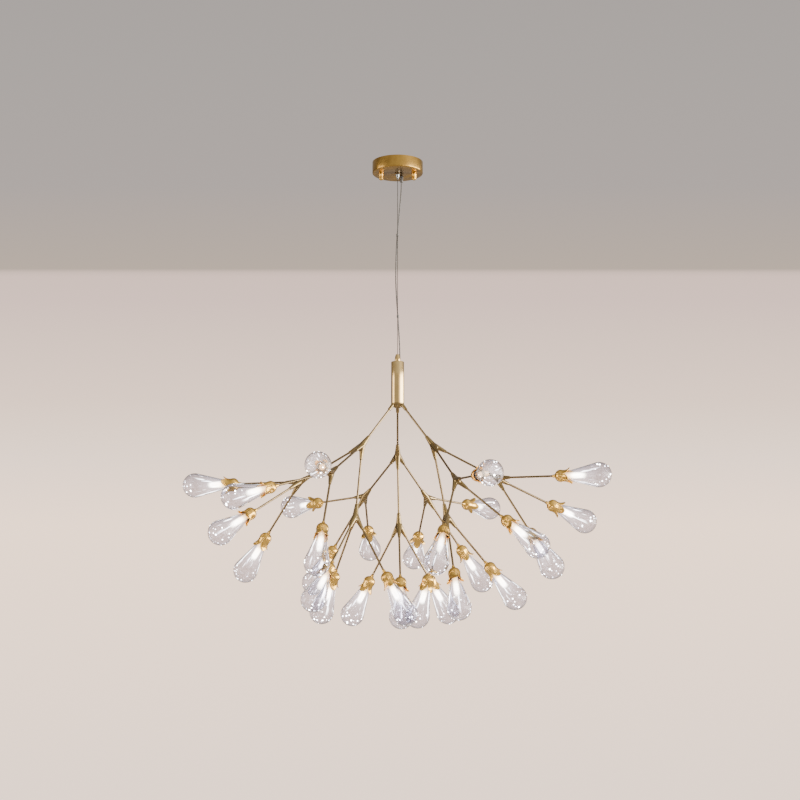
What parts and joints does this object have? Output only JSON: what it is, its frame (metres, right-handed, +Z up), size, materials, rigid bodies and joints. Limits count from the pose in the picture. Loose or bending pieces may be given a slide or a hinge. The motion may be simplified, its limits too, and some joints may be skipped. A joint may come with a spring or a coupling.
{
  "type": "branch chandelier",
  "caption": "Pendant chandelier: a round ceiling canopy, wire and cord, a brass column and forking rods that end in petal lampholders with teardrop glass lamps.",
  "frame": {"origin": "middle of the canopy in the plane of the ceiling", "axes": "+Z up out of the ceiling face, +X to the right seen from the front, -Y towards the viewer of the picture"},
  "size_m": [0.9645, 0.9111, 1.1033],
  "materials": {
    "antique_brass": "antique brass, satin",
    "zinc_steel": "zinc plated steel",
    "polished_brass": "polished gilt brass",
    "chrome_metal": "chromed brass",
    "wire_steel": "stranded steel wire",
    "clear_plastic": "clear soft plastic",
    "white_plastic": "white plastic",
    "brushed_brass": "brushed brass, lacquered",
    "cast_brass": "cast brass, satin, lacquered",
    "rod_brass": "drawn brass tube, lacquered",
    "holder_ceramic": "white glaze",
    "lit_capsule": "frosted lens, lit",
    "drop_glass": "clear glass, faintly lilac"
  },
  "bodies": {
    "ceiling_side": {"canopy": "antique_brass", "ceiling_bracket": "zinc_steel", "canopy_studs": "zinc_steel", "canopy_nuts": "polished_brass", "gripper_body": "chrome_metal", "gripper_nut": "chrome_metal", "gripper_spring": "zinc_steel", "wire_tail": "wire_steel", "cord_boot": "clear_plastic", "cord_tail": "clear_plastic", "terminal_block": "white_plastic"},
    "release": {"gripper_plunger": "chrome_metal"},
    "suspension": {"suspension_wire": "wire_steel", "power_cord": "clear_plastic", "cord_ties": "clear_plastic"},
    "pendant": {"column_cap": "brushed_brass", "column_plate": "brushed_brass", "column_tube": "brushed_brass", "column_grommet": "clear_plastic", "splice_block": "white_plastic", "column_lead": "clear_plastic", "main_hub": "cast_brass", "main_rods": "rod_brass", "main_forks": "cast_brass", "left_rods": "rod_brass", "left_forks": "cast_brass", "left_twigs": "rod_brass", "left_lampholders": "holder_ceramic", "left_lamp_bases": "white_plastic", "left_capsules": "lit_capsule", "back_rods": "rod_brass", "back_forks": "cast_brass", "back_twigs": "rod_brass", "back_lampholders": "holder_ceramic", "back_lamp_bases": "white_plastic", "back_capsules": "lit_capsule", "right_rods": "rod_brass", "right_forks": "cast_brass", "right_twigs": "rod_brass", "right_lampholders": "holder_ceramic", "right_lamp_bases": "white_plastic", "right_capsules": "lit_capsule", "left_lower_petals": "polished_brass", "left_front_petals": "polished_brass", "left_outer_petals": "polished_brass", "back_lower_petals": "polished_brass", "back_left_petals": "polished_brass", "back_right_petals": "polished_brass", "right_lower_petals": "polished_brass", "right_outer_petals": "polished_brass", "right_front_petals": "polished_brass", "left_lower_glass": "drop_glass", "left_front_glass": "drop_glass", "left_outer_glass": "drop_glass", "back_lower_glass": "drop_glass", "back_left_glass": "drop_glass", "back_right_glass": "drop_glass", "right_lower_glass": "drop_glass", "right_outer_glass": "drop_glass", "right_front_glass": "drop_glass"}
  },
  "joints": [
    {"name": "release_push", "type": "slide", "parent": "ceiling_side", "child": "release", "axis": [0, 0, 1], "range_m": [0, 0.002], "stiffness_N_per_m": 600, "springref_m": -0.004, "deforming": ["gripper_spring"]},
    {"name": "sway_side", "type": "hinge", "parent": "ceiling_side", "child": "suspension", "pos_m": [0, 0, -0.0395], "axis": [0, 1, 0], "range_deg": [-8, 8]},
    {"name": "tilt_front", "type": "hinge", "parent": "suspension", "child": "pendant", "pos_m": [0, 0, -0.478], "axis": [1, 0, 0], "range_deg": [-8, 8]}
  ]
}
